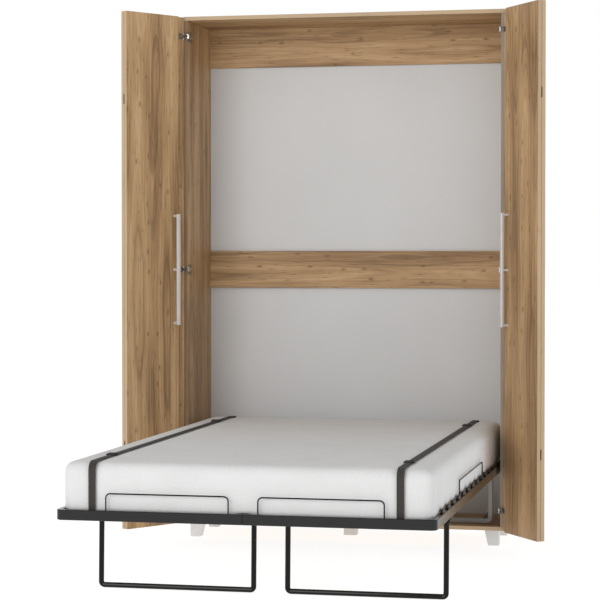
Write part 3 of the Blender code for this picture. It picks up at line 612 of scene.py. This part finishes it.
def press_in(obj, belts, low, high):
    """Sinks the cover's top and ends under each belt, and keeps it above the mattress's underside."""
    middle = (low.z + high.z) / 2
    for vertex in obj.data.vertices:
        x, y, z = vertex.co
        end, inward = (low.y, 1) if y < 0 else (high.y, -1)
        for belt_x in belts:
            near = math.exp(-(((x - belt_x) / PRESS_REACH) ** 2))
            if z > middle:
                vertex.co.z -= PRESS_TOP * near
            if abs(y - end) < END_BAND:
                vertex.co.y += PRESS_END * near * inward
        vertex.co.z = max(vertex.co.z, low.z)


def hang_front(obj, low, deck_front):
    """Lets the cover's lower front edge hang before the first slat, most between the frame's tubes."""
    for vertex in obj.data.vertices:
        x, y, z = vertex.co
        foot = min(z - low.z, SWELL + MATTRESS_INSET)
        near_foot = max(0.0, 1 - (z - low.z - foot) / HANG_FADE)
        forward = min(1.0, max(0.0, (deck_front - y) / HANG_FADE))
        clear = min(abs(x) - SAG_X[0], SAG_X[1] - abs(x))
        sag = FRONT_SAG * min(1.0, max(0.0, clear / SAG_FADE))
        vertex.co.z -= (FRONT_HANG + sag + foot) * forward * near_foot


def make_mattress():
    """The padded cover that stands in for the CAD mattress."""
    low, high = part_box("mattress")
    inset = Vector((MATTRESS_INSET,) * 3)
    bm = rounded_block(low + inset, high - inset, MATTRESS_ROUND, MATTRESS_CELL)
    obj = piece("mattress_cover", bm, cloth(), "bed")
    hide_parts("mattress")
    swell(obj, SWELL)
    belts = [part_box(f"strap_{side}") for side, _ in SIDES]
    press_in(obj, [(a.x + b.x) / 2 for a, b in belts], low, high)
    hang_front(obj, low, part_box("slat_deck")[0].y)
    smooth = obj.modifiers.new("Smooth", "SUBSURF")
    smooth.levels = 1
    smooth.render_levels = 1


# Belts


def belt_path(side):
    """Up the front of the mattress, along its top and down its head end, as the CAD belt runs."""
    low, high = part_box(f"strap_{side}")
    radius = MATTRESS_ROUND
    x = (low.x + high.x) / 2
    half = BELT_THICK / 2
    front, head, top = low.y + half, high.y - half, high.z - half
    drop = top - radius - low.z
    flat = head - front - 2 * radius

    def bend(centre_y, first):
        """A quarter turn over a corner of the mattress, from the angle first in degrees."""
        for step in range(BEND_STEPS + 1):
            angle = math.radians(first - 90 * step / BEND_STEPS)
            across = radius * math.cos(angle)
            path.append(Vector((x, centre_y + across, top - radius + radius * math.sin(angle))))

    path = []
    for step in range(DROP_STEPS):
        path.append(Vector((x, front, low.z + drop * step / DROP_STEPS)))
    bend(front + radius, 180)
    for step in range(1, TOP_STEPS):
        path.append(Vector((x, front + radius + flat * step / TOP_STEPS, top)))
    bend(head - radius, 90)
    for step in range(1, DROP_STEPS + 1):
        path.append(Vector((x, head, top - radius - drop * step / DROP_STEPS)))
    return path


def make_belts(webbing, black):
    """The two belts that stand in for the CAD straps, each with a buckle near both ends."""
    half, thick, lip = BELT_WIDTH / 2, BELT_THICK / 2, BELT_LIP
    profile = [
        (-half, -thick + lip), (-half + lip, -thick), (half - lip, -thick), (half, -thick + lip),
        (half, thick - lip), (half - lip, thick), (0.0, thick + BELT_CROWN), (-half + lip, thick),
        (-half, thick - lip),
    ]
    for side, _ in SIDES:
        bm = bmesh.new()
        add_sweep(bm, belt_path(side), profile)
        belt = piece(f"belt_{side}", bm, webbing, "bed", smooth=False)
        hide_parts(f"strap_{side}")
        low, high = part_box(f"strap_{side}")
        places = ("front", low.y + BUCKLE_FROM_FRONT[side]), ("head", high.y - BUCKLE_FROM_HEAD)
        for end, y in places:
            make_buckle(f"buckle_{side}_{end}", (low.x + high.x) / 2, y, high.z, black, webbing)


def make_buckle(name, x, y, z, black, webbing):
    """A ladder buckle: side walls, two low bars, the raised bar the belt turns on, and its loose end."""
    bm = bmesh.new()
    half = BELT_WIDTH / 2 + BUCKLE_CLEAR
    for sign in (-1, 1):
        inner, outer = sorted((x + sign * half, x + sign * (half + BUCKLE_WALL)))
        low = (inner, y - BUCKLE_LONG / 2, z - BUCKLE_SUNK)
        high = (outer, y + BUCKLE_LONG / 2, z + BUCKLE_TALL)
        add_box(bm, low, high, BUCKLE_ROUND)
    for place, height in BUCKLE_BARS:
        centre = y + place * BUCKLE_LONG
        low = (x - half, centre - BAR_HALF, z + height)
        high = (x + half, centre + BAR_HALF, z + height + BAR_TALL)
        add_box(bm, low, high, BUCKLE_ROUND)
    piece(name, bm, black, "bed")
    bm = bmesh.new()
    path = []
    for step in range(TAIL_STEPS + 1):
        part = step / TAIL_STEPS
        rise = TAIL_ARCH * math.sin(math.pi * min(1.0, part * TAIL_ARCH_ENDS)) + TAIL_LOW
        path.append(Vector((x, y + BUCKLE_LONG * (part * TAIL_LONG - TAIL_BACK), z + rise)))
    profile = [
        (-TAIL_HALF, -TAIL_THIN), (TAIL_HALF, -TAIL_THIN), (TAIL_HALF, TAIL_THIN), (-TAIL_HALF, TAIL_THIN),
    ]
    add_sweep(bm, path, profile)
    piece(name + "_tail", bm, webbing, "bed")


# Slats


def make_slats(black):
    """Two rows of slats, each held in a cap at the side rail and a shared one at the middle."""
    low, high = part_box("slat_deck")
    pitch = (high.y - low.y - SLAT_WIDTH) / (SLAT_COUNT - 1)
    centres = [low.y + SLAT_WIDTH / 2 + i * pitch for i in range(SLAT_COUNT)]
    wood = beech()
    outer_end = high.x - SLAT_OUTER_GAP
    for side, sign in SIDES:
        bm = bmesh.new()
        left, right = sorted((sign * SLAT_INNER_END, sign * outer_end))
        for y in centres:
            first = (left, y - SLAT_WIDTH / 2, low.z + SLAT_SKIN)
            second = (right, y + SLAT_WIDTH / 2, high.z - SLAT_SKIN)
            add_box(bm, first, second, SLAT_ROUND)
        obj = piece(f"slats_{side}", bm, wood, "bed", smooth=False)
        if sign < 0:
            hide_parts("slat_deck")
    near_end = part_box("mattress")[1].x + HOLDER_FROM_MATTRESS
    far_end = high.x + HOLDER_PAST_DECK
    for side, sign in SIDES:
        bm = bmesh.new()
        near, far = sorted((sign * near_end, sign * far_end))
        for y in centres:
            first = (near, y - HOLDER_WIDTH / 2, low.z)
            second = (far, y + HOLDER_WIDTH / 2, low.z + HOLDER_TALL)
            add_box(bm, first, second, HOLDER_ROUND, HOLDER_ROUND_STEPS)
        piece(f"slat_caps_{side}", bm, black, "bed")
    bm = bmesh.new()
    for y in centres:
        first = (-MIDDLE_HOLDER_HALF, y - HOLDER_WIDTH / 2, low.z)
        second = (MIDDLE_HOLDER_HALF, y + HOLDER_WIDTH / 2, high.z)
        add_box(bm, first, second, MIDDLE_HOLDER_ROUND)
    piece("slat_caps_middle", bm, black, "bed")


# Dressing the CAD nodes


def board_finishes():
    """The oak of each board by its node's name: grain along its length, band on its visible edge."""
    finishes = {}
    # The side panels share one edge banding, given two colours as painted light: painted shade on the left,
    # painted sheen on the right
    side_bands_painted_light = {"left": BAND_BROWN_PAINTED_SHADE, "right": BAND_GREY_PAINTED_SHEEN}
    for side, sign in SIDES:
        finishes[f"side_panel_{side}"] = oak(f"oak_side_{side}", Y, Z, 3 + sign, -Y, side_bands_painted_light[side])
    lying = oak("oak_lying", Y, X, 5, -Y, BAND_BEIGE)
    finishes["top_panel"] = lying
    finishes["bottom_panel"] = lying
    finishes["top_rail"] = oak("oak_top_rail", Z, X, 7)
    finishes["middle_rail"] = oak("oak_middle_rail", Z, X, 9)
    for side, sign in SIDES:
        low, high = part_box(f"door_{side}_outer")
        reach = Vector((sign * (high.x - low.x), -(high.y - low.y), 0)).normalized()
        for part, seed in (("outer", 0.0), ("inner", 5.3)):
            name = f"oak_door_{side}_{part}"
            finishes[f"door_{side}_{part}"] = oak(name, reach, Z, 11 + sign + seed, reach, BAND_BEIGE)
    return finishes


def part_finishes():
    """The finish of the other nodes, by how their names start."""
    tube = coated_steel("black_tube", BLACK_TUBE, roughness=0.12, shine=0.20)
    plate_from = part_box("door_hinge_arm_right_lower")[0].x + HINGE_ARM_THICK
    return {
        "back_panel": back_board(),
        "bed_frame": coated_steel("black_coat", BLACK_COAT, roughness=0.17, shine=0.42),
        "leg": tube,
        "front_stop": tube,
        "side_stop": tube,
        "gas_cylinder": tube,
        "gas_rod": metal("piston_chrome", PISTON_CHROME, 0.12, Z),
        "stand_frame": coated_steel("silver_coat", SILVER_COAT, roughness=0.42, shine=0.4),
        "stand_gusset": plastic("black_plate", BLACK_PLATE, 0.45),
        "foot": plastic("white_foot", WHITE_FOOT, 0.38),
        "handle": metal("brushed_handle", HANDLE_METAL, 0.38, Z, metallic=0.28),
        "door_hinge_arm": hinge_steel(plate_from),
        "door_hinge_cup": metal("hinge_nickel", HINGE_NICKEL, 0.26),
        "fold_hinge": metal("fold_bronze", FOLD_BRONZE, 0.40),
    }


def dress():
    """Gives its finish to each CAD node that is shown; the mattress, straps and slat deck are replaced."""
    boards = board_finishes()
    parts = part_finishes()
    for name, obj in nodes.items():
        stem = next((key for key in parts if name.startswith(key)), None)
        finish = boards.get(name) or parts.get(stem)
        if finish:
            obj.data.materials.clear()
            obj.data.materials.append(finish)


# Light, floor and camera


def make_floor():
    """A pale floor that glows a little, so that it stays nearly white under the shadows."""
    bm = bmesh.new()
    bmesh.ops.create_grid(bm, x_segments=1, y_segments=1, size=FLOOR_REACH)
    mesh = bpy.data.meshes.new("floor")
    bm.to_mesh(mesh)
    bm.free()
    g = Graph("pale_floor")
    grain = g.noise(g.place, 30.0, 3.0)
    pale = g.finish(
        g.ramp(grain, FLOOR_TONES), 0.9,
        Emission_Color=(1, 1, 1, 1), Emission_Strength=FLOOR_GLOW, Specular_IOR_Level=0.0,
    )
    mesh.materials.append(pale)
    floor = bpy.data.objects.new("floor", mesh)
    floor.location.z = -FLOOR_BELOW
    bpy.context.scene.collection.objects.link(floor)


def make_key():
    """One soft light from the front left."""
    light = bpy.data.lights.new("key", "AREA")
    light.shape = "RECTANGLE"
    light.size, light.size_y = KEY_SIZE
    light.energy = KEY_POWER
    obj = bpy.data.objects.new("key", light)
    obj.location = KEY_PLACE
    obj.rotation_euler = (Vector(KEY_TARGET) - Vector(KEY_PLACE)).to_track_quat("-Z", "Y").to_euler()
    bpy.context.scene.collection.objects.link(obj)


def make_sky():
    """A white studio that is dimmer overhead."""
    world = bpy.data.worlds.new("studio")
    world.use_nodes = True
    tree = world.node_tree
    place = tree.nodes.new("ShaderNodeTexCoord")
    split = tree.nodes.new("ShaderNodeSeparateXYZ")
    ramp = tree.nodes.new("ShaderNodeValToRGB")
    tree.links.new(place.outputs["Generated"], split.inputs[0])
    tree.links.new(split.outputs["Z"], ramp.inputs[0])
    tree.links.new(ramp.outputs[0], tree.nodes["Background"].inputs["Color"])
    for element, place, grey in zip(ramp.color_ramp.elements, SKY_BAND, (1, SKY_TOP)):
        element.position = place
        element.color = (grey, grey, grey, 1)
    bpy.context.scene.world = world
    bpy.context.scene.view_settings.view_transform = "Standard"


def make_camera():
    """The photo's camera."""
    data = bpy.data.cameras.new("camera")
    data.lens = CAMERA_LENS
    data.sensor_width = CAMERA_SENSOR
    data.clip_end = CAMERA_FAR
    camera = bpy.data.objects.new("camera", data)
    camera.location = CAMERA_PLACE
    camera.rotation_euler = (math.radians(90 + CAMERA_PITCH), 0, math.radians(CAMERA_TURN))
    bpy.context.scene.collection.objects.link(camera)
    bpy.context.scene.camera = camera


make_camera()
make_sky()
make_key()
make_floor()
dress()
black_plastic = plastic("black_moulding", BLACK_MOULDING, 0.5)
make_mattress()
make_belts(belt_webbing(), black_plastic)
make_slats(black_plastic)
